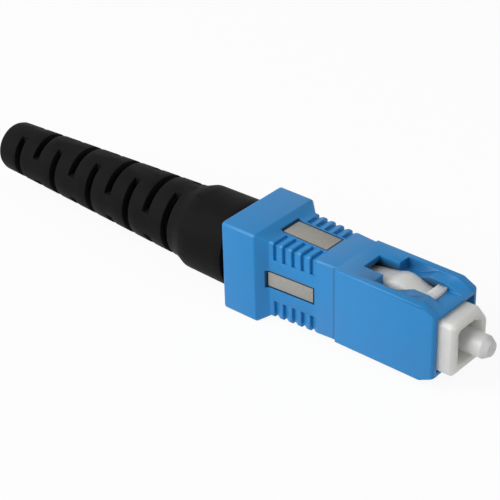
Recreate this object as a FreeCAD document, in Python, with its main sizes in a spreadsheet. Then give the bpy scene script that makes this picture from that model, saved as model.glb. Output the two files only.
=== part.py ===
import FreeCAD
import Part
import Sketcher
import os

# Push-pull fibre connector plug. It lies along X with the ferrule tip at the origin and the
# mating direction towards +X. The latch windows face up and down, and the key faces +Y.
# Every size is in millimetres and is written once, here.
SIZES = {
    # stations along the plug
    "ferrule_reach": 2.55,
    "nose_reach": 1.8,
    "boot_gap": 0.35,
    # outer housing: front section, waist and flange
    "front_length": 12.35,
    "front_width": 7.4,
    "front_height": 9.0,
    "front_round": 0.3,
    "cheek_round": 0.4,
    "nose_slope_length": 2.0,
    "nose_slope_drop": 0.95,
    "waist_length": 9.7,
    "waist_front_width": 6.8,
    "waist_front_height": 9.0,
    "waist_rear_width": 7.9,
    "waist_rear_height": 9.3,
    "waist_ease": 0.22,
    "flange_length": 4.5,
    "flange_width": 9.85,
    "flange_height": 10.75,
    "flange_ease": 0.28,
    "flange_rim_ease": 0.22,
    "flange_ramp": 1.2,
    "key_width": 3.4,
    "key_height": 0.9,
    "key_length": 8.2,
    "key_setback": 1.55,
    # latch window and the bar in front of it
    "slot_width": 2.75,
    "slot_length": 8.5,
    "bar_depth": 1.98,
    "bar_top": 3.65,
    "window_width": 5.74,
    "window_setback": 7.98,
    "ledge_floor": 3.33,
    "ledge_run": 1.63,
    "ledge_ramp": 2.2,
    "ledge_top": 4.31,
    "ledge_plateau": 1.9,
    "ledge_front": 3.5,
    # grip grooves on the four long edges of the waist
    "groove_pitch": 1.165,
    "groove_setback": 3.3,
    "groove_width": 0.9,
    "groove_depth": 0.38,
    "groove_inset_top": 1.65,
    "groove_inset_side": 2.5,
    # pads of the retainer sleeve and their windows
    "pad_length": 5.85,
    "top_pad_width": 2.65,
    "side_pad_width": 1.8,
    "pad_setback": 2.9,
    "pad_recess": 0.05,
    "pad_gap": 0.13,
    "sleeve_width": 5.8,
    "sleeve_height": 7.2,
    "sleeve_length": 9.05,
    "sleeve_setback": 0.25,
    "sleeve_bore": 5.0,
    # plug frame
    "frame_width": 6.1,
    "frame_height": 6.1,
    "frame_corner_width": 1.4,
    "frame_corner_height": 1.9,
    "frame_near_ease": 0.4,
    "frame_wall": 0.95,
    "nose_ease": 0.35,
    "recess_depth": 2.2,
    "frame_bore": 4.6,
    "frame_mouth": 3.6,
    "mouth_round": 0.7,
    "mouth_depth": 5.6,
    "slide_travel": 1.2,
    "bump_width": 2.6,
    "bump_tail_rise": 0.05,
    "bump_shoulder_rise": 0.63,
    "bump_crown_rise": 0.99,
    "bump_valley_rise": 0.05,
    "bump_foot_rise": 0.95,
    "bump_tail": 3.2,
    "bump_shoulder": 1.1,
    "bump_crown": 0.8,
    "bump_slope": 2.9,
    "bump_foot": 1.05,
    # ferrule, fibre and holder
    "ferrule_diameter": 2.5,
    "ferrule_length": 10.5,
    "ferrule_end": 1.6,
    "ferrule_taper": 0.7,
    "fibre_diameter": 0.125,
    "stub_length": 17.8,
    "holder_flange": 4.4,
    "holder_flange_length": 1.5,
    "holder_nose": 3.3,
    "holder_nose_length": 0.8,
    "holder_tail": 2.7,
    "holder_length": 31.3,
    "splice_bore": 1.7,
    "splice_length": 14.8,
    "splice_setback": 0.5,
    "crimp_length": 10.0,
    "crimp_wall": 0.25,
    "crimp_overlap": 9.3,
    "lead_in_bore": 0.5,
    "lead_in_length": 9.0,
    "cam_diameter": 5.4,
    "cam_length": 4.0,
    "cam_flat": 4.6,
    "cam_gap": 0.3,
    # spring and backbone
    "spring_wire": 0.4,
    "spring_coils": 5,
    "backbone_tube": 4.5,
    "backbone_wall": 0.25,
    "backbone_overlap": 2.0,
    "spring_length": 11.9,
    "stop_bore": 3.0,
    "collar_diameter": 7.7,
    "collar_length": 2.0,
    "collar_depth": 0.35,
    # boot
    "boot_front_diameter": 9.95,
    "boot_collar_diameter": 9.7,
    "boot_collar_length": 6.2,
    "boot_shoulder_length": 1.55,
    "boot_neck_diameter": 8.46,
    "boot_taper_length": 29.3,
    "boot_tail_diameter": 5.94,
    "boot_tail_round": 0.6,
    "boot_tail_bulge": 0.17,
    "boot_chamber": 6.4,
    "boot_chamber_length": 6.9,
    "boot_throat_length": 4.5,
    "cable_bore": 3.2,
    "rib_slot_width": 0.95,
    "rib_slot_pitch": 3.08,
    "rib_slot_setback": 3.53,
    "rib_web": 2.75,
    # clearances
    "slip": 0.05,
    "press": 0.02,
    "cut_margin": 0.1,
}
GROOVES = 5
SIDE_SLOTS = 5
TOP_SLOTS = 4
WIRE_SIDES = 6

doc = FreeCAD.newDocument("fibre_plug")
dims = doc.addObject("Spreadsheet::Sheet", "dims")
for row, (alias, size) in enumerate(SIZES.items(), start=1):
    dims.set("A%d" % row, alias)
    dims.set("B%d" % row, str(size))
    dims.setAlias("B%d" % row, alias)
doc.recompute()


def number(expression):
    return float(dims.evalExpression(expression))


def make_body(label, station):
    body = doc.addObject("PartDesign::Body", label)
    body.Label = label
    body.setExpression("Placement.Base.x", station)
    return body


def datum(body, role):
    return [feature for feature in body.Origin.OriginFeatures if feature.Role == role][0]


def make_sketch(body, name, role, offset):
    sketch = body.newObject("Sketcher::SketchObject", name)
    sketch.AttachmentSupport = (datum(body, role), [""])
    sketch.MapMode = "FlatFace"
    sketch.setExpression("AttachmentOffset.Base.z", offset)
    return sketch


def hold(sketch, kind, line, expression):
    if expression == "0":
        axis = -2 if kind == "DistanceX" else -1
        sketch.addConstraint(Sketcher.Constraint("PointOnObject", line, 1, axis))
        return
    place = number(expression)
    index = sketch.addConstraint(Sketcher.Constraint(kind, -1, 1, line, 1, place))
    sketch.setExpression("Constraints[%d]" % index, expression)


# A sketch of closed straight-sided loops. Each corner is held by its two distances from the origin.
def outline(body, name, role, offset, *loops):
    sketch = make_sketch(body, name, role, offset)
    for points in loops:
        first = sketch.GeometryCount
        count = len(points)
        corners = [FreeCAD.Vector(number(across), number(up), 0) for across, up in points]
        for index in range(count):
            side = Part.LineSegment(corners[index], corners[(index + 1) % count])
            sketch.addGeometry(side, False)
        for index, (across, up) in enumerate(points):
            before = first + (index - 1) % count
            sketch.addConstraint(Sketcher.Constraint("Coincident", before, 2, first + index, 1))
            hold(sketch, "DistanceX", first + index, across)
            hold(sketch, "DistanceY", first + index, up)
    return sketch


def block(left, right, low, high):
    return [(left, low), (right, low), (right, high), (left, high)]


def half(size):
    return "%s / 2" % size


def minus(expression):
    return "-(%s)" % expression


# The corners of a rectangle centred on the axis, each broken by a flat.
def eased(width, height, ease):
    across = half(width)
    up = half(height)
    near = "(%s - %s)" % (across, ease)
    low = "(%s - %s)" % (up, ease)
    return [
        (near, minus(up)), (across, minus(low)), (across, low), (near, up),
        (minus(near), up), (minus(across), low), (minus(across), minus(low)), (minus(near), minus(up))]


# A rectangle centred on the axis, with rounded corners.
def rounded(body, name, offset, width, height, radius):
    sketch = make_sketch(body, name, "YZ_Plane", offset)
    across = number(width) / 2
    up = number(height) / 2
    bend = number(radius)
    turns = [(1, -1, -90), (1, 1, 0), (-1, 1, 90), (-1, -1, 180)]
    centres = [FreeCAD.Vector(sx * (across - bend), sy * (up - bend), 0) for sx, sy, start in turns]
    arcs = []
    for centre, (sx, sy, start) in zip(centres, turns):
        circle = Part.Circle(centre, FreeCAD.Vector(0, 0, 1), bend)
        begin = FreeCAD.Units.Quantity(start, "deg").getValueAs("rad").Value
        finish = FreeCAD.Units.Quantity(start + 90, "deg").getValueAs("rad").Value
        arcs.append(Part.ArcOfCircle(circle, begin, finish))
    for index in range(4):
        sketch.addGeometry(Part.LineSegment(arcs[index - 1].EndPoint, arcs[index].StartPoint), False)
        sketch.addGeometry(arcs[index], False)
    for index in range(4):
        line = 2 * index
        arc = line + 1
        following = (line + 2) % 8
        sketch.addConstraint(Sketcher.Constraint("Tangent", line, 2, arc, 1))
        sketch.addConstraint(Sketcher.Constraint("Tangent", arc, 2, following, 1))
        sketch.addConstraint(Sketcher.Constraint("Vertical" if index % 2 else "Horizontal", line))
    hold(sketch, "DistanceY", 0, minus(half(height)))
    hold(sketch, "DistanceX", 2, half(width))
    hold(sketch, "DistanceY", 4, half(height))
    hold(sketch, "DistanceX", 6, minus(half(width)))
    index = sketch.addConstraint(Sketcher.Constraint("Radius", 1, bend))
    sketch.setExpression("Constraints[%d]" % index, radius)
    for arc in (3, 5, 7):
        sketch.addConstraint(Sketcher.Constraint("Equal", 1, arc))
    return sketch


def circle(body, name, offset, diameter):
    sketch = make_sketch(body, name, "YZ_Plane", offset)
    radius = number(diameter) / 2
    sketch.addGeometry(Part.Circle(FreeCAD.Vector(0, 0, 0), FreeCAD.Vector(0, 0, 1), radius), False)
    sketch.addConstraint(Sketcher.Constraint("Coincident", 0, 3, -1, 1))
    index = sketch.addConstraint(Sketcher.Constraint("Diameter", 0, 2 * radius))
    sketch.setExpression("Constraints[%d]" % index, diameter)
    return sketch


# A pad grows along its plane's normal and a pocket cuts against it.
def extrude(kind, body, sketch, length, backwards=False):
    feature = body.newObject("PartDesign::%s" % kind, "%s_%s" % (sketch.Name, kind.lower()))
    feature.Profile = sketch
    feature.setExpression("Length", length)
    feature.Reversed = backwards
    doc.recompute()
    return feature


def pad(body, sketch, length, backwards=False):
    return extrude("Pad", body, sketch, length, backwards)


def pocket(body, sketch, length, backwards=False):
    before = body.Shape.Volume
    feature = extrude("Pocket", body, sketch, length, backwards)
    if body.Shape.Volume >= before:
        raise RuntimeError("%s cuts nothing" % feature.Name)
    return feature


def loft(body, near, far):
    feature = body.newObject("PartDesign::AdditiveLoft", "%s_loft" % near.Name)
    feature.Profile = near
    feature.Sections = [far]
    doc.recompute()
    return feature


def revolve(body, sketch):
    feature = body.newObject("PartDesign::Revolution", "%s_turned" % sketch.Name)
    feature.Profile = sketch
    feature.ReferenceAxis = (datum(body, "X_Axis"), [""])
    feature.Angle = 360
    doc.recompute()
    return feature


# Breaks the edges that the test picks, with a round or a flat.
def break_edges(body, name, kind, size, wanted):
    base = body.Tip
    edges = ["Edge%d" % place for place, edge in enumerate(base.Shape.Edges, start=1) if wanted(edge)]
    feature = body.newObject("PartDesign::%s" % kind, name)
    feature.Base = (base, edges)
    feature.setExpression("Radius" if kind == "Fillet" else "Size", size)
    doc.recompute()
    return feature


def mirror(body, feature):
    copy = body.newObject("PartDesign::Mirrored", "%s_below" % feature.Name)
    copy.Originals = [feature]
    copy.MirrorPlane = (datum(body, "XY_Plane"), [""])
    body.Tip = copy
    doc.recompute()
    return copy


def repeat(body, feature, pitch, count):
    row = body.newObject("PartDesign::LinearPattern", "%s_row" % feature.Name)
    row.Originals = [feature]
    row.Direction = (datum(body, "X_Axis"), [""])
    row.setExpression("Length", "(%s) * %d" % (pitch, count - 1))
    row.Occurrences = count
    body.Tip = row
    doc.recompute()
    return row


def lies_at(value, expression):
    return abs(value - number(expression)) < number("dims.press")


# Stations of the assembly, along X from the ferrule tip.
NOSE = "-dims.ferrule_reach"
HOUSING = "-(dims.ferrule_reach + dims.nose_reach)"
HOUSING_LENGTH = "(dims.front_length + dims.waist_length + dims.flange_length)"
BOOT = "-(dims.ferrule_reach + dims.nose_reach + %s + dims.boot_gap)" % HOUSING_LENGTH
BACKBONE_REAR = "(%s - dims.collar_depth - dims.collar_length)" % BOOT

# Stations inside the housing, from its front face.
STEP = "-dims.front_length"
WAIST_REAR = "-(dims.front_length + dims.waist_length)"
PAD_FRONT = "-(dims.front_length + dims.pad_setback)"
PAD_REAR = "-(dims.front_length + dims.pad_setback + dims.pad_length)"
SLEEVE_FRONT = "-(dims.front_length + dims.sleeve_setback)"
SLEEVE_REAR = "-(dims.front_length + dims.sleeve_setback + dims.sleeve_length)"

# Stations inside the plug frame, from its nose.
FRAME_REAR = "-(dims.nose_reach + dims.front_length + dims.sleeve_setback - dims.slide_travel - dims.slip)"
SHOULDER = "-dims.mouth_depth"
BUMP_FRONT = "-(dims.nose_reach + dims.bar_depth + dims.slip)"
HOLDER_FLANGE_REAR = "-(dims.mouth_depth + dims.slip + dims.holder_flange_length)"
SPRING_SEAT = "(%s - dims.slip - dims.spring_length - dims.slip)" % HOLDER_FLANGE_REAR


# Half the waist's width or height at a station, on its taper.
def waist_half(size, station):
    share = "(-(%s) - dims.front_length) / dims.waist_length" % station
    front = "dims.waist_front_%s" % size
    rear = "dims.waist_rear_%s" % size
    return "(%s + (%s - %s) * (%s)) / 2" % (front, rear, front, share)


# One saw-tooth cut for each groove: a steep rear wall and a ramp that runs out forwards.
def groove_teeth(size, side):
    teeth = []
    for index in range(GROOVES):
        rear = "-(dims.front_length + dims.groove_setback + %d * dims.groove_pitch)" % index
        front = "(%s + dims.groove_width)" % rear
        floor = "%s * (%s - dims.groove_depth)" % (side, waist_half(size, rear))
        run_out = "%s * (%s)" % (side, waist_half(size, front))
        above = "%s * (%s + dims.cut_margin)" % (side, waist_half(size, rear))
        teeth.append([(rear, floor), (front, run_out), (rear, above)])
    return teeth


def make_outer_housing():
    body = make_body("outer_housing", HOUSING)
    front = rounded(body, "front", STEP, "dims.front_width", "dims.front_height", "dims.front_round")
    pad(body, front, "dims.front_length")

    def cheek_corner(edge):
        middle = edge.CenterOfMass
        upright = edge.BoundBox.ZLength > number("dims.front_height") / 2
        return upright and lies_at(middle.x, "0")

    break_edges(body, "cheek_corners", "Fillet", "dims.cheek_round", cheek_corner)
    waist_front = outline(body, "waist_front", "YZ_Plane", STEP, eased(
        "dims.waist_front_width", "dims.waist_front_height", "dims.waist_ease"))
    waist_rear = outline(body, "waist_rear", "YZ_Plane", WAIST_REAR, eased(
        "dims.waist_rear_width", "dims.waist_rear_height", "dims.waist_ease"))
    loft(body, waist_front, waist_rear)

    # The flange runs down to the waist on a ramp.
    flange_section = eased("dims.flange_width", "dims.flange_height", "dims.flange_ease")
    rear = minus(HOUSING_LENGTH)
    flange = outline(body, "flange", "YZ_Plane", rear, flange_section)
    pad(body, flange, "dims.flange_length")

    def flange_rim(edge):
        return lies_at(edge.CenterOfMass.x, rear)

    break_edges(body, "flange_rim", "Chamfer", "dims.flange_rim_ease", flange_rim)
    foot = "(%s + dims.flange_ramp)" % WAIST_REAR
    ramp_rear = outline(body, "ramp_rear", "YZ_Plane", WAIST_REAR, flange_section)
    ramp_foot = outline(body, "ramp_foot", "YZ_Plane", foot, eased(
        "2 * %s" % waist_half("width", foot), "2 * %s" % waist_half("height", foot), "dims.waist_ease"))
    loft(body, ramp_rear, ramp_foot)
    key = outline(body, "key", "XZ_Plane", minus("dims.front_width / 2 - dims.cut_margin"), block(
        "-(dims.key_setback + dims.key_length)", "-dims.key_setback",
        "-dims.key_width / 2", "dims.key_width / 2"))
    pad(body, key, "dims.key_height + dims.cut_margin", backwards=True)

    # The plug frame runs in the front cavity, and the retainer sleeve sits in the rear one.
    cavity_end = "(dims.front_length + dims.sleeve_setback - dims.slip)"
    front_cavity = outline(body, "front_cavity", "YZ_Plane", "0", block(
        "-(dims.frame_width / 2 + dims.slip)", "dims.frame_width / 2 + dims.slip",
        "-(dims.frame_height / 2 + dims.slip)", "dims.frame_height / 2 + dims.slip"))
    pocket(body, front_cavity, cavity_end)
    rear_cavity = outline(body, "rear_cavity", "YZ_Plane", minus(cavity_end), block(
        "-(dims.sleeve_width / 2 + dims.slip)", "dims.sleeve_width / 2 + dims.slip",
        "-(dims.sleeve_height / 2 + dims.slip)", "dims.sleeve_height / 2 + dims.slip"))
    pocket(body, rear_cavity, "dims.waist_length + dims.flange_length + dims.cut_margin")
    tail_top = "(dims.frame_height / 2 + dims.bump_shoulder_rise + dims.slip)"
    slot_end = "(dims.bar_depth + dims.slot_length)"
    channel = outline(body, "bump_channel", "YZ_Plane", minus(slot_end), block(
        "-dims.slot_width / 2", "dims.slot_width / 2", minus(tail_top), tail_top))
    pocket(body, channel, "%s - %s" % (cavity_end, slot_end))

    # The latch window: a narrow slot at the rear and ledges on both sides at the front.
    through = "dims.flange_height"
    slot = outline(body, "latch_slot", "XY_Plane", half(through), block(
        minus(slot_end), "-dims.bar_depth", "-dims.slot_width / 2", "dims.slot_width / 2"))
    pocket(body, slot, through)
    top = "dims.front_height / 2 + dims.cut_margin"
    ahead = "dims.cut_margin"
    ledge_end = "-(dims.window_setback - dims.ledge_run)"
    ramp_top = "-(dims.window_setback - dims.ledge_run - dims.ledge_ramp)"
    plateau_end = "-(dims.window_setback - dims.ledge_run - dims.ledge_ramp - dims.ledge_plateau)"
    ledges = outline(body, "latch_window", "XZ_Plane", "dims.window_width / 2", [
        ("-dims.window_setback", "dims.ledge_floor"),
        (ledge_end, "dims.ledge_floor"),
        (ramp_top, "dims.ledge_top"),
        (plateau_end, "dims.ledge_top"),
        ("0", "dims.ledge_front"),
        (ahead, "dims.ledge_front"),
        (ahead, top),
        ("-dims.window_setback", top)])
    mirror(body, pocket(body, ledges, "dims.window_width"))
    bar = outline(body, "latch_bar", "XZ_Plane", half("dims.slot_width"), block(
        "-(dims.bar_depth + dims.cut_margin)", ahead, "dims.bar_top", top))
    mirror(body, pocket(body, bar, "dims.slot_width"))
    slope = outline(body, "nose_slope", "XZ_Plane", half("dims.flange_width"), [
        ("-dims.nose_slope_length", "dims.front_height / 2"),
        ("0", "dims.front_height / 2 - dims.nose_slope_drop"),
        (ahead, "dims.front_height / 2 - dims.nose_slope_drop"),
        (ahead, top),
        ("-dims.nose_slope_length", top)])
    mirror(body, pocket(body, slope, "dims.flange_width"))

    # Windows for the pads, through all four walls of the waist.
    window_front = "(%s + dims.pad_gap)" % PAD_FRONT
    window_rear = "(%s - dims.pad_gap)" % PAD_REAR
    across = "dims.top_pad_width / 2 + dims.pad_gap"
    upper = outline(body, "top_pad_windows", "XY_Plane", half(through), block(
        window_rear, window_front, minus(across), across))
    pocket(body, upper, through)
    reach = "dims.side_pad_width / 2 + dims.pad_gap"
    side = outline(body, "side_pad_windows", "XZ_Plane", half("dims.flange_width"), block(
        window_rear, window_front, minus(reach), reach))
    pocket(body, side, "dims.flange_width")

    top_teeth = groove_teeth("height", 1) + groove_teeth("height", -1)
    side_teeth = groove_teeth("width", 1) + groove_teeth("width", -1)
    left = outline(body, "grip_left", "XZ_Plane", "-dims.groove_inset_top", *top_teeth)
    pocket(body, left, "dims.flange_width / 2")
    right = outline(body, "grip_right", "XZ_Plane", "dims.groove_inset_top", *top_teeth)
    pocket(body, right, "dims.flange_width / 2", backwards=True)
    upper = outline(body, "grip_upper", "XY_Plane", "dims.groove_inset_side", *side_teeth)
    pocket(body, upper, "dims.flange_height / 2", backwards=True)
    lower = outline(body, "grip_lower", "XY_Plane", "-dims.groove_inset_side", *side_teeth)
    pocket(body, lower, "dims.flange_height / 2")
    return body


def make_retainer_sleeve():
    body = make_body("retainer_sleeve", HOUSING)
    tube = outline(body, "tube", "YZ_Plane", SLEEVE_REAR, block(
        "-dims.sleeve_width / 2", "dims.sleeve_width / 2",
        "-dims.sleeve_height / 2", "dims.sleeve_height / 2"))
    pad(body, tube, "dims.sleeve_length")

    def pad_profile(size, side, root):
        return [
            (PAD_REAR, "%d * (%s)" % (side, root)),
            (PAD_FRONT, "%d * (%s)" % (side, root)),
            (PAD_FRONT, "%d * (%s - dims.pad_recess)" % (side, waist_half(size, PAD_FRONT))),
            (PAD_REAR, "%d * (%s - dims.pad_recess)" % (side, waist_half(size, PAD_REAR)))]

    high = "dims.sleeve_height / 2 - dims.cut_margin"
    wide = "dims.sleeve_width / 2 - dims.cut_margin"
    for name, side in (("top_pad", 1), ("bottom_pad", -1)):
        corners = pad_profile("height", side, high)
        profile = outline(body, name, "XZ_Plane", "-dims.top_pad_width / 2", corners)
        pad(body, profile, "dims.top_pad_width")
    for name, side in (("left_pad", 1), ("right_pad", -1)):
        corners = pad_profile("width", side, wide)
        profile = outline(body, name, "XY_Plane", "-dims.side_pad_width / 2", corners)
        pad(body, profile, "dims.side_pad_width")
    bore = circle(body, "sleeve_bore", SLEEVE_FRONT, "dims.sleeve_bore")
    pocket(body, bore, "dims.sleeve_length + dims.cut_margin")
    return body


# The frame's section: both corners on the key's side are cut off, and the other two are eased.
def frame_section(wide, high):
    inner = "(%s - dims.frame_corner_width)" % wide
    corner = "(%s - dims.frame_corner_height)" % high
    near = minus("%s - dims.frame_near_ease" % wide)
    near_high = "(%s - dims.frame_near_ease)" % high
    return [
        (near, minus(high)), (inner, minus(high)), (wide, minus(corner)), (wide, corner),
        (inner, high), (near, high), (minus(wide), near_high), (minus(wide), minus(near_high))]


def make_plug_frame():
    body = make_body("plug_frame", NOSE)
    section = outline(body, "section", "YZ_Plane", FRAME_REAR, frame_section(
        "dims.frame_width / 2", "dims.frame_height / 2"))
    pad(body, section, minus(FRAME_REAR))

    def nose_rim(edge):
        return lies_at(edge.CenterOfMass.x, "0")

    break_edges(body, "nose_rim", "Chamfer", "dims.nose_ease", nose_rim)

    # The latch bump: a long tail, the crown, a slope down to a valley, and an upright foot.
    foot = "(%s - dims.bump_foot)" % BUMP_FRONT
    crown_front = "(%s - dims.bump_slope)" % foot
    crown_rear = "(%s - dims.bump_crown)" % crown_front
    shoulder = "(%s - dims.bump_shoulder)" % crown_rear
    tail = "(%s - dims.bump_tail)" % shoulder
    root = "dims.frame_height / 2 - dims.cut_margin"
    bump = outline(body, "bump", "XZ_Plane", "-dims.bump_width / 2", [
        (BUMP_FRONT, root),
        (BUMP_FRONT, "dims.frame_height / 2 + dims.bump_foot_rise"),
        (foot, "dims.frame_height / 2 + dims.bump_foot_rise"),
        (foot, "dims.frame_height / 2 + dims.bump_valley_rise"),
        (crown_front, "dims.frame_height / 2 + dims.bump_crown_rise"),
        (crown_rear, "dims.frame_height / 2 + dims.bump_crown_rise"),
        (shoulder, "dims.frame_height / 2 + dims.bump_shoulder_rise"),
        (tail, "dims.frame_height / 2 + dims.bump_tail_rise"),
        (tail, root)])
    mirror(body, pad(body, bump, "dims.bump_width"))
    bore = circle(body, "bore", SHOULDER, "dims.frame_bore")
    pocket(body, bore, "%s - %s + dims.cut_margin" % (SHOULDER, FRAME_REAR))
    mouth = rounded(body, "mouth", "0", "dims.frame_mouth", "dims.frame_mouth", "dims.mouth_round")
    pocket(body, mouth, "dims.mouth_depth")
    recess = outline(body, "recess", "YZ_Plane", "0", frame_section(
        "(dims.frame_width / 2 - dims.frame_wall)", "(dims.frame_height / 2 - dims.frame_wall)"))
    pocket(body, recess, "dims.recess_depth")
    return body


# A turned piece: its profile is given as stations and radii, and turned about X.
def make_turned(label, station, points):
    body = make_body(label, station)
    profile = outline(body, "%s_profile" % label, "XZ_Plane", "0", points)
    revolve(body, profile)
    return body


def make_ferrule():
    return make_turned("ferrule", "0", [
        ("0", "dims.fibre_diameter / 2 + dims.press / 2"),
        ("0", "dims.ferrule_end / 2"),
        ("-dims.ferrule_taper", "dims.ferrule_diameter / 2"),
        ("-dims.ferrule_length", "dims.ferrule_diameter / 2"),
        ("-dims.ferrule_length", "dims.fibre_diameter / 2 + dims.press / 2")])


def make_fibre_stub():
    return make_turned("fibre_stub", "0", [
        ("0", "0"),
        ("0", "dims.fibre_diameter / 2"),
        ("-dims.stub_length", "dims.fibre_diameter / 2"),
        ("-dims.stub_length", "0")])


# The holder is measured from the front of its flange, which rests on the frame's shoulder.
HOLDER = "-(dims.ferrule_reach + dims.mouth_depth + dims.slip)"
SOCKET_REAR = "(-dims.ferrule_length - dims.press - (%s))" % HOLDER
TAIL_REAR = "(dims.holder_nose_length - dims.holder_length)"
CRIMP_FRONT = "(%s + dims.crimp_overlap)" % TAIL_REAR


def make_ferrule_holder():
    socket = "dims.ferrule_diameter / 2 + dims.press"
    return make_turned("ferrule_holder", HOLDER, [
        ("dims.holder_nose_length", socket),
        ("dims.holder_nose_length", "dims.holder_nose / 2"),
        ("0", "dims.holder_nose / 2"),
        ("0", "dims.holder_flange / 2"),
        ("-dims.holder_flange_length", "dims.holder_flange / 2"),
        ("-dims.holder_flange_length", "dims.holder_tail / 2"),
        (TAIL_REAR, "dims.holder_tail / 2"),
        (TAIL_REAR, "dims.splice_bore / 2"),
        (SOCKET_REAR, "dims.splice_bore / 2"),
        (SOCKET_REAR, socket)])


# A splice half is a half cylinder, and the fibre lies between the flat faces of the two.
def make_splice_half(label, side):
    piece = doc.addObject("Part::Cylinder", label)
    piece.Label = label
    piece.Angle = 180
    piece.setExpression("Radius", "dims.splice_bore / 2 - dims.fibre_diameter / 2 - 2 * dims.press")
    piece.setExpression("Height", "dims.splice_length")
    along = FreeCAD.Rotation(FreeCAD.Vector(0, 1, 0), -90)
    about = FreeCAD.Rotation(FreeCAD.Vector(1, 0, 0), 90 * side)
    piece.Placement = FreeCAD.Placement(FreeCAD.Vector(0, 0, 0), about.multiply(along))
    piece.setExpression("Placement.Base.x", "%s + %s - dims.splice_setback" % (HOLDER, SOCKET_REAR))
    piece.setExpression("Placement.Base.z", "%d * (dims.fibre_diameter / 2 + dims.press)" % side)
    return piece


def make_crimp_tube():
    outer = "dims.splice_bore / 2 - dims.press"
    inner = "%s - dims.crimp_wall" % outer
    rear = "%s - dims.crimp_length" % CRIMP_FRONT
    return make_turned("crimp_tube", HOLDER, [
        (CRIMP_FRONT, inner), (CRIMP_FRONT, outer), (rear, outer), (rear, inner)])


def make_lead_in_tube():
    outer = "dims.splice_bore / 2 - 2 * dims.press - dims.crimp_wall"
    inner = "dims.lead_in_bore / 2"
    rear = "%s - dims.lead_in_length" % CRIMP_FRONT
    return make_turned("lead_in_tube", HOLDER, [
        (CRIMP_FRONT, inner), (CRIMP_FRONT, outer), (rear, outer), (rear, inner)])


# The cam turns on the holder's tail, just behind the backbone, and has two flats for the tool.
def make_cam_sleeve():
    front = "(%s - dims.cam_gap - (%s))" % (BACKBONE_REAR, HOLDER)
    rear = "(%s - dims.cam_length)" % front
    inner = "dims.holder_tail / 2 + dims.slip"
    outer = "dims.cam_diameter / 2"
    body = make_turned("cam_sleeve", HOLDER, [
        (front, inner), (front, outer), (rear, outer), (rear, inner)])
    flats = outline(
        body, "cam_flats", "XZ_Plane", half("dims.cam_diameter"),
        block(rear, front, "dims.cam_flat / 2", outer),
        block(rear, front, minus(outer), "-dims.cam_flat / 2"))
    pocket(body, flats, "dims.cam_diameter")
    return body


# The wire follows a helix about X, from the backbone's seat to the holder's flange.
def make_spring():
    seat = "(%s + %s + dims.slip + dims.spring_wire / 2)" % (NOSE, SPRING_SEAT)
    radius = "dims.backbone_tube / 2 - dims.backbone_wall - dims.slip - dims.spring_wire / 2"
    along = FreeCAD.Rotation(FreeCAD.Vector(0, 1, 0), 90)
    path = doc.addObject("Part::Helix", "spring_path")
    path.setExpression("Radius", radius)
    path.setExpression("Height", "dims.spring_length - dims.spring_wire")
    path.setExpression("Pitch", "(dims.spring_length - dims.spring_wire) / dims.spring_coils")
    path.Placement = FreeCAD.Placement(FreeCAD.Vector(0, 0, 0), along)
    path.setExpression("Placement.Base.x", seat)
    wire = doc.addObject("Part::RegularPolygon", "spring_section")
    wire.Polygon = WIRE_SIDES
    wire.setExpression("Circumradius", "dims.spring_wire / 2")
    upright = FreeCAD.Rotation(FreeCAD.Vector(1, 0, 0), 90)
    wire.Placement = FreeCAD.Placement(FreeCAD.Vector(0, 0, 0), along.multiply(upright))
    wire.setExpression("Placement.Base.x", seat)
    wire.setExpression("Placement.Base.z", "-(%s)" % radius)
    doc.recompute()
    spring = doc.addObject("Part::Sweep", "spring")
    spring.Label = "spring"
    spring.Sections = [wire]
    spring.Spine = (path, ["Edge%d" % (index + 1) for index in range(len(path.Shape.Edges))])
    spring.Solid = True
    spring.Frenet = True
    return spring


# The backbone runs from the plug frame through the sleeve, and its collar seats in the boot.
def make_backbone():
    front = "(%s + dims.backbone_overlap)" % FRAME_REAR
    collar = "(%s - dims.collar_depth - (%s))" % (BOOT, NOSE)
    rear = "(%s - (%s))" % (BACKBONE_REAR, NOSE)
    tube = "dims.backbone_tube / 2"
    bore = "dims.backbone_tube / 2 - dims.backbone_wall"
    stop = "dims.stop_bore / 2"
    return make_turned("backbone", NOSE, [
        (front, bore), (front, tube),
        (collar, tube), (collar, "dims.collar_diameter / 2"),
        (rear, "dims.collar_diameter / 2"), (rear, stop),
        (SPRING_SEAT, stop), (SPRING_SEAT, bore)])


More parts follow.
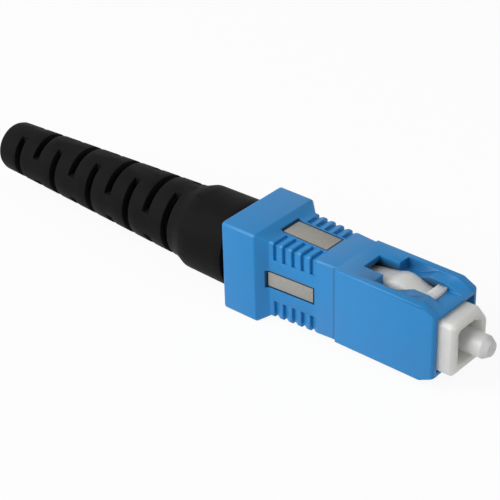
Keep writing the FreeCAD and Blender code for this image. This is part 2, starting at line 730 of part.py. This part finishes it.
def make_boot():
    pocket_end = "-(dims.collar_depth + dims.collar_length + dims.slip)"
    chamber_end = "(%s - dims.boot_chamber_length)" % pocket_end
    throat_end = "(%s - dims.boot_throat_length)" % chamber_end
    shoulder = "-dims.boot_collar_length"
    neck = "-(dims.boot_collar_length + dims.boot_shoulder_length)"
    tail = "-(dims.boot_collar_length + dims.boot_shoulder_length + dims.boot_taper_length)"
    seat = "dims.collar_diameter / 2 + dims.slip"
    body = make_turned("boot", BOOT, [
        ("0", seat),
        ("0", "dims.boot_front_diameter / 2"),
        (shoulder, "dims.boot_collar_diameter / 2"),
        (neck, "dims.boot_neck_diameter / 2"),
        ("%s + dims.boot_tail_round" % tail, "dims.boot_tail_diameter / 2"),
        ("%s + dims.boot_tail_bulge" % tail, "dims.boot_tail_diameter / 2 - dims.boot_tail_bulge"),
        (tail, "dims.boot_tail_diameter / 2 - dims.boot_tail_round"),
        (tail, "dims.cable_bore / 2"),
        (throat_end, "dims.cable_bore / 2"),
        (chamber_end, "dims.boot_chamber / 2"),
        (pocket_end, "dims.boot_chamber / 2"),
        (pocket_end, seat)])
    reach = "dims.boot_front_diameter / 2"
    web = "dims.rib_web / 2"
    first = "%s + dims.rib_slot_setback + dims.rib_slot_width / 2" % tail
    second = "%s + dims.rib_slot_pitch" % first
    side = outline(
        body, "side_slots", "YZ_Plane", first,
        block(web, reach, minus(reach), reach),
        block(minus(reach), minus(web), minus(reach), reach))
    repeat(body, pocket(body, side, "dims.rib_slot_width"), "2 * dims.rib_slot_pitch", SIDE_SLOTS)
    top = outline(
        body, "top_slots", "YZ_Plane", second,
        block(minus(reach), reach, web, reach),
        block(minus(reach), reach, minus(reach), minus(web)))
    repeat(body, pocket(body, top, "dims.rib_slot_width"), "2 * dims.rib_slot_pitch", TOP_SLOTS)
    return body


pieces = [
    make_outer_housing(),
    make_retainer_sleeve(),
    make_plug_frame(),
    make_ferrule(),
    make_fibre_stub(),
    make_ferrule_holder(),
    make_splice_half("splice_base", -1),
    make_splice_half("splice_cover", 1),
    make_crimp_tube(),
    make_lead_in_tube(),
    make_cam_sleeve(),
    make_spring(),
    make_backbone(),
    make_boot(),
]
doc.recompute()

for thing in doc.Objects:
    if "Invalid" in thing.State or "Error" in thing.State:
        raise RuntimeError("%s failed: %s" % (thing.Name, thing.State))
for piece in pieces:
    if piece.Shape.isNull() or not piece.Shape.isValid() or len(piece.Shape.Solids) != 1:
        raise RuntimeError("%s is not one sound solid" % piece.Label)

os.makedirs("parts", exist_ok=True)
for piece in pieces:
    piece.Shape.exportStep("parts/%s.step" % piece.Label)
    box = piece.Shape.BoundBox
    print("%-16s x %7.2f to %6.2f  volume %8.3f" % (piece.Label, box.XMin, box.XMax, piece.Shape.Volume))
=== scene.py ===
import bpy
import math
from mathutils import Matrix, Vector


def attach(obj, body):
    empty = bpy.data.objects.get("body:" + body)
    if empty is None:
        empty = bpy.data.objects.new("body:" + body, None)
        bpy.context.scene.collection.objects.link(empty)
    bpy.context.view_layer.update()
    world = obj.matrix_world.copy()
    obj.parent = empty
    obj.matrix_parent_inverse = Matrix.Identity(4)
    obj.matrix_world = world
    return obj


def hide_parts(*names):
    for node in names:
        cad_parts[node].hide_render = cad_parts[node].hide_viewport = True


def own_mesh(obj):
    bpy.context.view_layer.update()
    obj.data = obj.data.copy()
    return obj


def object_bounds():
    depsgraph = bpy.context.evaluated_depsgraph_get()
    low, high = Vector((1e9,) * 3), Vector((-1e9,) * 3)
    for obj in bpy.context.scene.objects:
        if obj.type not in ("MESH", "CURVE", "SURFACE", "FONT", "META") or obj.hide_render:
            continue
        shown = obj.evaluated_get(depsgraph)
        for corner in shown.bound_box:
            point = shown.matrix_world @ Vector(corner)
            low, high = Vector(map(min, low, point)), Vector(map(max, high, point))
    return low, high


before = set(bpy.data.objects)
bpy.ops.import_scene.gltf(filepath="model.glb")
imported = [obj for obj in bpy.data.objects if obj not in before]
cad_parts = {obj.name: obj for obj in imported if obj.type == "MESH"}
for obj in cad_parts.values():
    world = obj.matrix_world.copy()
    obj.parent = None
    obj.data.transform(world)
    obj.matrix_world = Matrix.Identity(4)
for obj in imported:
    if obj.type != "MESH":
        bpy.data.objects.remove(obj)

mm = 0.001
beyond = 99.0  # in mm, past every edge of the part
cadLow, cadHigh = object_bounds()
print("frame loaded:", len(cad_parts), "nodes")


# the frame arrives with every node selected
def deselectAll():
    if bpy.context.object and bpy.context.object.mode != "OBJECT":
        bpy.ops.object.mode_set(mode="OBJECT")
    bpy.ops.object.select_all(action="DESELECT")


def pickOnly(piece):
    deselectAll()
    piece.select_set(True)
    bpy.context.view_layer.objects.active = piece


# a zone gives ranges in mm for x, for y and z on both sides, and for the distance r from the axis
def inZone(spot, zone):
    measures = {"x": spot.x, "y": abs(spot.y), "z": abs(spot.z), "r": math.hypot(spot.y, spot.z)}
    return all(low < measures[key] / mm < high for key, (low, high) in zone.items())


# a region is all of a piece, or the zones under only, without the zones under skip
def inRegion(spot, region):
    if any(inZone(spot, zone) for zone in region.get("skip", [])):
        return False
    return "only" not in region or any(inZone(spot, zone) for zone in region["only"])


# rounds the sharp edges of one region of a piece
def roundRegion(piece, region):
    pickOnly(piece)
    bpy.ops.object.mode_set(mode="EDIT")
    bpy.ops.mesh.select_mode(type="EDGE")
    bpy.ops.mesh.select_all(action="DESELECT")
    bpy.ops.mesh.edges_select_sharp(sharpness=math.radians(region["angle"]))
    bpy.ops.object.mode_set(mode="OBJECT")
    points = [point.co for point in piece.data.vertices]
    picks = [edge.index for edge in piece.data.edges
             if edge.select and all(inRegion(points[index], region) for index in edge.vertices)]
    bpy.ops.object.mode_set(mode="EDIT")  # the faces have to be cleared too, or they bring their edges back
    bpy.ops.mesh.select_all(action="DESELECT")
    bpy.ops.object.mode_set(mode="OBJECT")
    for index in picks:
        piece.data.edges[index].select = True
    bpy.ops.object.mode_set(mode="EDIT")
    bpy.ops.mesh.bevel(offset=region["width"], segments=region["steps"], clamp_overlap=False)
    bpy.ops.object.mode_set(mode="OBJECT")


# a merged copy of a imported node, with its flat faces joined and its edges softened
def softCopy(nodeName, pieceName, look):
    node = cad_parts[nodeName]
    piece = bpy.data.objects.new(pieceName, node.data.copy())
    bpy.context.scene.collection.objects.link(piece)
    piece.data.materials.clear()
    pickOnly(piece)
    bpy.ops.object.mode_set(mode="EDIT")
    bpy.ops.mesh.select_mode(type="VERT")
    bpy.ops.mesh.select_all(action="SELECT")
    bpy.ops.mesh.remove_doubles(threshold=look["merge"])
    bpy.ops.mesh.select_all(action="SELECT")
    bpy.ops.mesh.dissolve_limited(angle_limit=math.radians(look["flatAngle"]))
    bpy.ops.object.mode_set(mode="OBJECT")
    for region in look["softEdges"]:
        roundRegion(piece, region)
    pickOnly(piece)
    bpy.ops.object.shade_smooth_by_angle(angle=math.radians(look["smoothAngle"]))
    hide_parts(nodeName)
    return piece


# shader node groups that several finishes share
def newGroup(name, inputs, outputs):
    group = bpy.data.node_groups.new(name, "ShaderNodeTree")
    for label, kind, start in inputs:
        socket = group.interface.new_socket(name=label, in_out="INPUT", socket_type=kind)
        socket.default_value = start
    for label, kind in outputs:
        group.interface.new_socket(name=label, in_out="OUTPUT", socket_type=kind)
    entry = group.nodes.new("NodeGroupInput")
    leave = group.nodes.new("NodeGroupOutput")
    return group, entry, leave


def addNode(tree, kind, **settings):
    node = tree.nodes.new(kind)
    for key, value in settings.items():
        setattr(node, key, value)
    return node


# each step adds one node, and takes sockets or plain numbers
def feedSocket(tree, value, socket):
    if isinstance(value, bpy.types.NodeSocket):
        tree.links.new(value, socket)
    else:
        socket.default_value = value


def mathStep(tree, operation, *values):
    step = addNode(tree, "ShaderNodeMath", operation=operation)
    for value, socket in zip(values, step.inputs):
        feedSocket(tree, value, socket)
    return step.outputs[0]


def rangeStep(tree, value, start, stop, low=0.0, high=1.0):
    step = addNode(tree, "ShaderNodeMapRange")
    labels = ("Value", "From Min", "From Max", "To Min", "To Max")
    for label, entry in zip(labels, (value, start, stop, low, high)):
        feedSocket(tree, entry, step.inputs[label])
    return step.outputs["Result"]


def tintStep(tree, colour, level):
    step = addNode(tree, "ShaderNodeVectorMath", operation="SCALE")
    feedSocket(tree, colour, step.inputs[0])
    feedSocket(tree, level, step.inputs["Scale"])
    return step.outputs[0]


grainLook = {
    "cloudDetail": 3.0,
    "grainDetail": 2.0,
    "middle": 0.5,
    "roughSpan": (0.3, 0.7),  # part of the cloud that spreads the roughness
}


# uneven colour, roughness and height of a moulded surface
def makeGrainGroup(look):
    group, entry, leave = newGroup(
        "mouldedGrain",
        [("Coordinates", "NodeSocketVector", (0, 0, 0)),
         ("Colour", "NodeSocketColor", (0.5, 0.5, 0.5, 1)),
         ("Cloud Scale", "NodeSocketFloat", 260.0),
         ("Cloud Depth", "NodeSocketFloat", 0.06),
         ("Grain Scale", "NodeSocketFloat", 9000.0),
         ("Grain Depth", "NodeSocketFloat", 0.05),
         ("Rough Low", "NodeSocketFloat", 0.35),
         ("Rough High", "NodeSocketFloat", 0.5)],
        [("Colour", "NodeSocketColor"), ("Roughness", "NodeSocketFloat"), ("Height", "NodeSocketFloat")])
    given = entry.outputs

    def noise(scale, detail):
        step = addNode(group, "ShaderNodeTexNoise")
        step.inputs["Detail"].default_value = detail
        group.links.new(given["Coordinates"], step.inputs["Vector"])
        group.links.new(given[scale], step.inputs["Scale"])
        return step.outputs["Fac"]

    def swing(source, depth):
        return mathStep(group, "MULTIPLY", mathStep(group, "SUBTRACT", source, look["middle"]), given[depth])

    cloud = noise("Cloud Scale", look["cloudDetail"])
    grain = noise("Grain Scale", look["grainDetail"])
    together = mathStep(group, "ADD", swing(cloud, "Cloud Depth"), swing(grain, "Grain Depth"))
    level = mathStep(group, "ADD", together, 1.0)
    rough = rangeStep(group, cloud, *look["roughSpan"], given["Rough Low"], given["Rough High"])
    group.links.new(tintStep(group, given["Colour"], level), leave.inputs["Colour"])
    group.links.new(rough, leave.inputs["Roughness"])
    group.links.new(grain, leave.inputs["Height"])
    return group


# a group that paints shade into a colour: it darkens the colour where its mask, made from x, |y| and |z|, is 1
def makeShadeGroup(name, limits, makeMask):
    group, entry, leave = newGroup(
        name,
        [("Coordinates", "NodeSocketVector", (0, 0, 0)), ("Colour", "NodeSocketColor", (0.5, 0.5, 0.5, 1))]
        + [(label, "NodeSocketFloat", 0.0) for label in limits] + [("Depth", "NodeSocketFloat", 0.5)],
        [("Colour", "NodeSocketColor")])
    given = entry.outputs
    parts = addNode(group, "ShaderNodeSeparateXYZ")
    group.links.new(given["Coordinates"], parts.inputs[0])
    along = parts.outputs["X"]
    across = mathStep(group, "ABSOLUTE", parts.outputs["Y"])
    height = mathStep(group, "ABSOLUTE", parts.outputs["Z"])
    mask = makeMask(group, given, along, across, height)
    level = mathStep(group, "SUBTRACT", 1.0, mathStep(group, "MULTIPLY", mask, given["Depth"]))
    group.links.new(tintStep(group, given["Colour"], level), leave.inputs["Colour"])
    return group


# painted shade: a narrow dark band across the two sides, in the corner behind a small step
def stepCornerShadeMask(group, given, along, across, height):
    band = mathStep(group, "COMPARE", along, given["Place"], given["Half Width"])
    return mathStep(group, "MULTIPLY", band, mathStep(group, "GREATER_THAN", across, given["Side"]))


# painted shade on the walls of a window that opens up and down, darker the deeper they lie
def pocketMask(group, given, along, across, height):
    mask = rangeStep(group, height, given["Rim"], given["Floor"])
    for part in (rangeStep(group, along, given["Front"], given["Back"]),
                 mathStep(group, "LESS_THAN", across, given["Side"]),
                 mathStep(group, "GREATER_THAN", along, given["End"])):
        mask = mathStep(group, "MULTIPLY", mask, part)
    return mask


# painted shade in the gaps round the pads: what lies inside the windows round the pads, or with Invert 1 what
# lies outside them
def gapMask(group, given, along, across, height):
    onTop = mathStep(group, "MULTIPLY", mathStep(group, "GREATER_THAN", height, given["Crown"]),
                     mathStep(group, "LESS_THAN", across, given["Half Top"]))
    onSide = mathStep(group, "LESS_THAN", height, given["Half Side"])
    within = mathStep(group, "MULTIPLY", mathStep(group, "LESS_THAN", along, given["Front"]),
                      mathStep(group, "GREATER_THAN", along, given["Rear"]))
    inside = mathStep(group, "MULTIPLY", mathStep(group, "MAXIMUM", onTop, onSide), within)
    return mathStep(group, "ABSOLUTE", mathStep(group, "SUBTRACT", inside, given["Invert"]))


grainGroup = makeGrainGroup(grainLook)
# groups that paint shade into the colour of corners, recesses and gaps
pocketGroup = makeShadeGroup("pocketShade", ["Rim", "Floor", "Front", "Back", "End", "Side"], pocketMask)
shadeGroups = {
    "stepCornerShade": makeShadeGroup("paintedStepShade", ["Place", "Half Width", "Side"], stepCornerShadeMask),
    "pocket": pocketGroup,
    "slot": pocketGroup,
    "gap": makeShadeGroup("gapShade", ["Front", "Rear", "Crown", "Half Top", "Half Side", "Invert"], gapMask),
}
print("finish groups ready")


# one finish: the groups drive colour, roughness and bump of a Principled shader
def makeFinish(name, look):
    material = bpy.data.materials.new(name)
    material.use_nodes = True
    tree = material.node_tree
    shader = tree.nodes["Principled BSDF"]
    place = addNode(tree, "ShaderNodeTexCoord")
    mapping = addNode(tree, "ShaderNodeMapping")
    mapping.inputs["Scale"].default_value = look.get("stretch", (1, 1, 1))
    tree.links.new(place.outputs["Object"], mapping.inputs["Vector"])
    grain = addNode(tree, "ShaderNodeGroup")
    grain.node_tree = grainGroup
    tree.links.new(mapping.outputs["Vector"], grain.inputs["Coordinates"])
    grain.inputs["Colour"].default_value = (*look["colour"], 1)
    for label, key in (("Cloud Scale", "cloudScale"), ("Cloud Depth", "cloudDepth"),
                       ("Grain Scale", "grainScale"), ("Grain Depth", "grainDepth")):
        grain.inputs[label].default_value = look[key]
    grain.inputs["Rough Low"].default_value = look["rough"][0]
    grain.inputs["Rough High"].default_value = look["rough"][1]
    colour = grain.outputs["Colour"]
    # painted shade: each shade group darkens the colour in its corner, recess or gap
    for kind, values in look.get("shades", {}).items():
        shade = addNode(tree, "ShaderNodeGroup")
        shade.node_tree = shadeGroups[kind]
        tree.links.new(place.outputs["Object"], shade.inputs["Coordinates"])
        tree.links.new(colour, shade.inputs["Colour"])
        for label, value in values.items():
            shade.inputs[label].default_value = value
        colour = shade.outputs["Colour"]
    tree.links.new(colour, shader.inputs["Base Color"])
    tree.links.new(grain.outputs["Roughness"], shader.inputs["Roughness"])
    bump = addNode(tree, "ShaderNodeBump")
    bump.inputs["Strength"].default_value = look["bump"]
    bump.inputs["Distance"].default_value = look["bumpDepth"]
    tree.links.new(grain.outputs["Height"], bump.inputs["Height"])
    tree.links.new(bump.outputs["Normal"], shader.inputs["Normal"])
    for label, value in look.get("shader", {}).items():
        shader.inputs[label].default_value = value
    return material


def dressNode(nodeName, material):
    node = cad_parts[nodeName]
    if node.data.materials:
        node.material_slots[0].material = material
    else:
        node.data.materials.append(material)


# the blue moulded grip
grip = {
    "merge": 2e-7,
    "flatAngle": 0.6,
    "softEdges": [
        {"only": [{"x": (-beyond, -26.39), "y": (4.3, beyond)},
                  {"x": (-beyond, -26.39), "z": (4.75, beyond)}],
         "angle": 8, "width": 0.13 * mm, "steps": 3},  # the flange
        {"skip": [{"x": (-6.7, beyond), "y": (2.8, 2.95)},
                  {"x": (-6.6, -5.8), "y": (3.3, beyond)},
                  {"x": (-17.0, -16.8), "y": (-beyond, 1.4), "z": (-beyond, 3.69)}],
         "angle": 32, "width": 0.05 * mm, "steps": 2},  # all but thin ends of slope and slot
    ],
    "smoothAngle": 38,
    "colour": (0.013, 0.225, 0.55),
    "cloudScale": 240.0,
    "cloudDepth": 0.1,
    "grainScale": 9000.0,
    "grainDepth": 0.06,
    "rough": (0.36, 0.48),
    "bump": 0.25,
    "bumpDepth": 0.01 * mm,
    "shader": {"IOR": 1.5, "Specular IOR Level": 0.4},
    # painted shade behind the front step, on the window and latch slot walls, and in the gaps round the pads
    "shades": {
        "stepCornerShade": {"Place": -16.9 * mm, "Half Width": 0.21 * mm, "Side": 3.3 * mm, "Depth": 0.32},
        "pocket": {"Rim": 4.5 * mm, "Floor": 4.1 * mm, "Front": -5.5 * mm, "Back": -8.0 * mm,
                   "End": -16.0 * mm, "Side": 3.1 * mm, "Depth": 0.32},
        "slot": {"Rim": 4.35 * mm, "Floor": 3.5 * mm, "Front": -6.4 * mm, "Back": -6.8 * mm,
                 "End": -16.0 * mm, "Side": 1.42 * mm, "Depth": 0.9},
        "gap": {"Front": -19.455 * mm, "Rear": -25.595 * mm, "Crown": 3.3 * mm, "Half Top": 1.47 * mm,
                "Half Side": 1.045 * mm, "Invert": 0.0, "Depth": 0.6},
    },
}
gripPiece = softCopy("outer_housing", "grip_housing", grip)
gripPiece.data.materials.append(makeFinish("blueMouldedPlastic", grip))
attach(gripPiece, "housing")
print("grip housing:", len(gripPiece.data.polygons), "faces")


# the grey sleeve whose pads show in the windows of the waist
sleeve = {
    "merge": 2e-7,
    "flatAngle": 0.6,
    "softEdges": [{"angle": 32, "width": 0.05 * mm, "steps": 2}],
    "smoothAngle": 38,
    "colour": (0.335, 0.32, 0.287),
    "cloudScale": 900.0,
    "cloudDepth": 0.12,
    "grainScale": 5200.0,
    "grainDepth": 0.5,
    "rough": (0.55, 0.75),
    "bump": 0.35,
    "bumpDepth": 0.02 * mm,
    # painted shade on the pad borders and side walls down in the gaps round the pads
    "shades": {
        "gap": {"Front": -19.67 * mm, "Rear": -25.38 * mm, "Crown": 3.3 * mm, "Half Top": 1.255 * mm,
                "Half Side": 0.83 * mm, "Invert": 1.0, "Depth": 0.75},
    },
}
sleevePiece = softCopy("retainer_sleeve", "pad_sleeve", sleeve)
sleevePiece.data.materials.append(makeFinish("greyMattePlastic", sleeve))
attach(sleevePiece, "housing")
print("pad sleeve:", len(sleevePiece.data.polygons), "faces")


# the off-white inner frame
innerFrame = {
    "merge": 2e-7,
    "flatAngle": 0.6,
    "softEdges": [
        {"only": [{"x": (-7.5, beyond), "y": (1.35, beyond)},
                  {"x": (-7.5, beyond), "z": (-beyond, 3.0)},
                  {"y": (2.5, beyond)},
                  {"y": (1.35, beyond), "z": (2.5, beyond)},
                  {"z": (2.5, 3.0)}],
         "angle": 28, "width": 0.09 * mm, "steps": 3},  # the nose and the long edges
        {"only": [{"y": (-beyond, 1.35), "z": (3.0, beyond)}],
         "angle": 32, "width": 0.02 * mm, "steps": 2},  # the bumps
    ],
    "smoothAngle": 38,
    "colour": (0.76, 0.746, 0.703),
    "cloudScale": 320.0,
    "cloudDepth": 0.05,
    "grainScale": 9000.0,
    "grainDepth": 0.04,
    "rough": (0.34, 0.45),
    "bump": 0.2,
    "bumpDepth": 0.008 * mm,
    "shader": {"Subsurface Weight": 1.0, "Subsurface Radius": (1.0, 0.95, 0.85),
               "Subsurface Scale": 3.0 * mm},
}
framePiece = softCopy("plug_frame", "inner_frame", innerFrame)
framePiece.data.materials.append(makeFinish("whiteMouldedPlastic", innerFrame))
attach(framePiece, "core")
print("inner frame:", len(framePiece.data.polygons), "faces")


# the ceramic ferrule
tip = {
    "merge": 1e-7,
    "flatAngle": 0.6,
    "softEdges": [{"angle": 25, "width": 0.03 * mm, "steps": 2}],
    "smoothAngle": 24,
    "colour": (0.66, 0.66, 0.655),
    "cloudScale": 500.0,
    "cloudDepth": 0.03,
    "grainScale": 12000.0,
    "grainDepth": 0.02,
    "rough": (0.34, 0.44),
    "bump": 0.05,
    "bumpDepth": 0.004 * mm,
    "shader": {"IOR": 1.6, "Subsurface Weight": 0.25, "Subsurface Scale": 0.6 * mm},
}
tipPiece = softCopy("ferrule", "ceramic_tip", tip)
tipPiece.data.materials.append(makeFinish("polishedCeramic", tip))
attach(tipPiece, "ferrule")
print("ceramic tip:", len(tipPiece.data.polygons), "faces")


# the slotted rubber boot
boot = {
    "merge": 2e-7,
    "flatAngle": 0.05,
    "softEdges": [
        {"only": [{"r": (1.8, beyond)}],
         "skip": [{"x": (-58.8, -56.8), "z": (2.8, beyond)}],
         "angle": 35, "width": 0.06 * mm, "steps": 2},  # outside, but for one slot's thin ends
    ],
    "smoothAngle": 34,
    "colour": (0.0055, 0.0055, 0.0057),
    "cloudScale": 200.0,
    "cloudDepth": 0.3,
    "grainScale": 6500.0,
    "grainDepth": 0.25,
    "rough": (0.56, 0.7),
    "bump": 0.3,
    "bumpDepth": 0.015 * mm,
    "shader": {"Specular IOR Level": 0.06},
}
bootPiece = softCopy("boot", "rib_boot", boot)
bootPiece.data.materials.append(makeFinish("blackBootRubber", boot))
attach(bootPiece, "core")
print("rib boot:", len(bootPiece.data.polygons), "faces")


# the spring, which in use shortens from its seat as the ferrule goes back; here it keeps its imported length
coil = {
    "merge": 2e-7,
    "flatAngle": 0.05,
    "softEdges": [],
    "smoothAngle": 65,
    "colour": (0.5, 0.5, 0.51),
    "cloudScale": 1500.0,
    "cloudDepth": 0.15,
    "grainScale": 14000.0,
    "grainDepth": 0.1,
    "rough": (0.22, 0.34),
    "bump": 0.12,
    "bumpDepth": 0.005 * mm,
    "shader": {"Metallic": 1.0},
    "seat": -21.65 * mm,
    "travel": 1.0 * mm,
}
coilPiece = softCopy("spring", "coil_spring", coil)
coilPiece.data.materials.append(makeFinish("springWire", coil))
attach(coilPiece, "core")
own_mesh(coilPiece)
print("coil spring:", len(coilPiece.data.polygons), "faces")


# finishes of the pieces inside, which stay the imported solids
inside = {
    "turnedNickel": {
        "nodes": ["ferrule_holder", "backbone"],
        "colour": (0.6, 0.57, 0.52), "stretch": (1, 0.08, 0.08), "cloudScale": 700.0, "cloudDepth": 0.12,
        "grainScale": 16000.0, "grainDepth": 0.12, "rough": (0.2, 0.36), "bump": 0.15,
        "bumpDepth": 0.006 * mm, "shader": {"Metallic": 1.0}},
    "crimpAluminium": {
        "nodes": ["crimp_tube"],
        "colour": (0.72, 0.71, 0.69), "cloudScale": 900.0, "cloudDepth": 0.1, "grainScale": 15000.0,
        "grainDepth": 0.08, "rough": (0.3, 0.45), "bump": 0.15, "bumpDepth": 0.006 * mm,
        "shader": {"Metallic": 1.0}},
    "spliceResin": {
        "nodes": ["splice_base", "splice_cover"],
        "colour": (0.58, 0.56, 0.5), "cloudScale": 900.0, "cloudDepth": 0.08, "grainScale": 9000.0,
        "grainDepth": 0.05, "rough": (0.4, 0.52), "bump": 0.2, "bumpDepth": 0.008 * mm},
    "linerResin": {
        "nodes": ["lead_in_tube"],
        "colour": (0.74, 0.76, 0.77), "cloudScale": 900.0, "cloudDepth": 0.05, "grainScale": 9000.0,
        "grainDepth": 0.04, "rough": (0.35, 0.45), "bump": 0.15, "bumpDepth": 0.006 * mm},
    "camResin": {
        "nodes": ["cam_sleeve"],
        "colour": (0.24, 0.24, 0.25), "cloudScale": 500.0, "cloudDepth": 0.1, "grainScale": 8000.0,
        "grainDepth": 0.1, "rough": (0.42, 0.56), "bump": 0.25, "bumpDepth": 0.01 * mm},
    "fibreGlass": {
        "nodes": ["fibre_stub"],
        "colour": (0.82, 0.87, 0.92), "cloudScale": 900.0, "cloudDepth": 0.02, "grainScale": 9000.0,
        "grainDepth": 0.01, "rough": (0.05, 0.1), "bump": 0.02, "bumpDepth": 0.002 * mm,
        "shader": {"IOR": 1.46, "Transmission Weight": 0.8}},
}
for finishName, look in inside.items():
    finish = makeFinish(finishName, look)
    for nodeName in look["nodes"]:
        dressNode(nodeName, finish)
print("inside pieces dressed:", len(inside), "finishes")


# mask of the rays that see the background: straight from the camera, through glass or in a gloss
def seenStep(tree):
    path = addNode(tree, "ShaderNodeLightPath")
    seen = mathStep(tree, "MAXIMUM", path.outputs["Is Camera Ray"], path.outputs["Is Transmission Ray"])
    return mathStep(tree, "MAXIMUM", seen, path.outputs["Is Glossy Ray"])


def mixStep(tree, share, first, second):
    mix = addNode(tree, "ShaderNodeMixShader")
    tree.links.new(share, mix.inputs["Fac"])
    tree.links.new(first, mix.inputs[1])
    tree.links.new(second, mix.inputs[2])
    return mix.outputs[0]


def glowStep(tree, kind, strength):
    glow = addNode(tree, kind)
    glow.inputs["Color"].default_value = (1, 1, 1, 1)
    glow.inputs["Strength"].default_value = strength
    return glow.outputs[0]


# floor, which looks white to the camera, keeps a soft shadow and is clear from below
floorLook = {
    "level": cadLow.z,
    "reach": 1.2,
    "colour": (0.9, 0.9, 0.9),
    "whiteShare": 0.93,
    "glow": 1.0,
}


def makeFloor(look):
    deselectAll()
    bpy.ops.mesh.primitive_plane_add(size=2 * look["reach"], location=(0, 0, 0))
    floor = bpy.context.object
    floor.name = "floor"
    bpy.ops.object.mode_set(mode="EDIT")
    bpy.ops.mesh.select_all(action="SELECT")
    bpy.ops.transform.translate(value=(0, 0, look["level"]))
    bpy.ops.object.mode_set(mode="OBJECT")
    material = bpy.data.materials.new("paleFloor")
    material.use_nodes = True
    tree = material.node_tree
    tree.nodes.clear()
    matte = addNode(tree, "ShaderNodeBsdfDiffuse")
    matte.inputs["Color"].default_value = (*look["colour"], 1)
    white = glowStep(tree, "ShaderNodeEmission", look["glow"])
    share = mathStep(tree, "MULTIPLY", seenStep(tree), look["whiteShare"])
    above = mixStep(tree, share, matte.outputs[0], white)
    side = addNode(tree, "ShaderNodeNewGeometry")
    clear = addNode(tree, "ShaderNodeBsdfTransparent")
    result = addNode(tree, "ShaderNodeOutputMaterial")
    tree.links.new(mixStep(tree, side.outputs["Backfacing"], above, clear.outputs[0]), result.inputs["Surface"])
    floor.data.materials.append(material)


makeFloor(floorLook)
print("floor laid")


# studio light: one broad key from the left and above, a weak fill, and an even white sky
studio = {
    "sky": 0.22,
    "seenSky": 1.0,
    "aim": (-0.03, 0.0, 0.0),
    "key": {"azimuth": -28, "elevation": 38, "distance": 0.45, "size": 0.3, "power": 1.75},
    "fill": {"azimuth": 95, "elevation": 35, "distance": 0.5, "size": 0.4, "power": 0.4},
}


def backFrom(azimuth, elevation):
    turn = math.radians(azimuth)
    rise = math.radians(elevation)
    return Vector((math.sin(turn) * math.cos(rise), -math.cos(turn) * math.cos(rise), math.sin(rise)))


def makeLamp(name, look, aim):
    deselectAll()
    away = backFrom(look["azimuth"], look["elevation"])
    bpy.ops.object.light_add(type="AREA", location=aim + away * look["distance"])
    lamp = bpy.context.object
    lamp.name = name
    lamp.data.shape = "SQUARE"
    lamp.data.size = look["size"]
    lamp.data.energy = look["power"]
    lamp.rotation_mode = "QUATERNION"
    lamp.rotation_quaternion = away.to_track_quat("Z", "Y")


def makeSky(strength, seenStrength):
    world = bpy.data.worlds.new("whiteSky")
    world.use_nodes = True
    tree = world.node_tree
    tree.nodes.clear()
    light = glowStep(tree, "ShaderNodeBackground", strength)
    seenWhite = glowStep(tree, "ShaderNodeBackground", seenStrength)
    result = addNode(tree, "ShaderNodeOutputWorld")
    tree.links.new(mixStep(tree, seenStep(tree), light, seenWhite), result.inputs["Surface"])
    bpy.context.scene.world = world


aim = Vector(studio["aim"])
makeLamp("keyLamp", studio["key"], aim)
makeLamp("fillLamp", studio["fill"], aim)
makeSky(studio["sky"], studio["seenSky"])
bpy.context.scene.view_settings.view_transform = "Standard"
print("studio lit")


# camera at the photograph's angle
view = {
    "azimuth": 40.988,
    "elevation": 31.639,
    "roll": -1.306,
    "distance": 178.75 * mm,
    "target": (-27.985 * mm, -1.477 * mm, 1.969 * mm),
    "lens": 121.649,
    "sensor": 36.0,
    "shift": (-0.0273, -0.0098),
    "clip": (0.005, 10.0),
}


def makeCamera(look):
    deselectAll()
    away = backFrom(look["azimuth"], look["elevation"])
    turn = math.radians(look["azimuth"])
    level = Vector((math.cos(turn), math.sin(turn), 0))
    upright = away.cross(level)
    roll = math.radians(look["roll"])
    right = math.cos(roll) * level + math.sin(roll) * upright
    up = math.cos(roll) * upright - math.sin(roll) * level
    spot = Vector(look["target"]) + away * look["distance"]
    bpy.ops.object.camera_add(location=spot)
    camera = bpy.context.object
    camera.rotation_mode = "QUATERNION"
    camera.rotation_quaternion = Matrix((right, up, away)).transposed().to_quaternion()
    camera.data.sensor_fit = "HORIZONTAL"
    camera.data.sensor_width = look["sensor"]
    camera.data.lens = look["lens"]
    camera.data.shift_x, camera.data.shift_y = look["shift"]
    camera.data.clip_start, camera.data.clip_end = look["clip"]
    camera.data.dof.use_dof = False
    bpy.context.scene.camera = camera


makeCamera(view)
print("camera set")
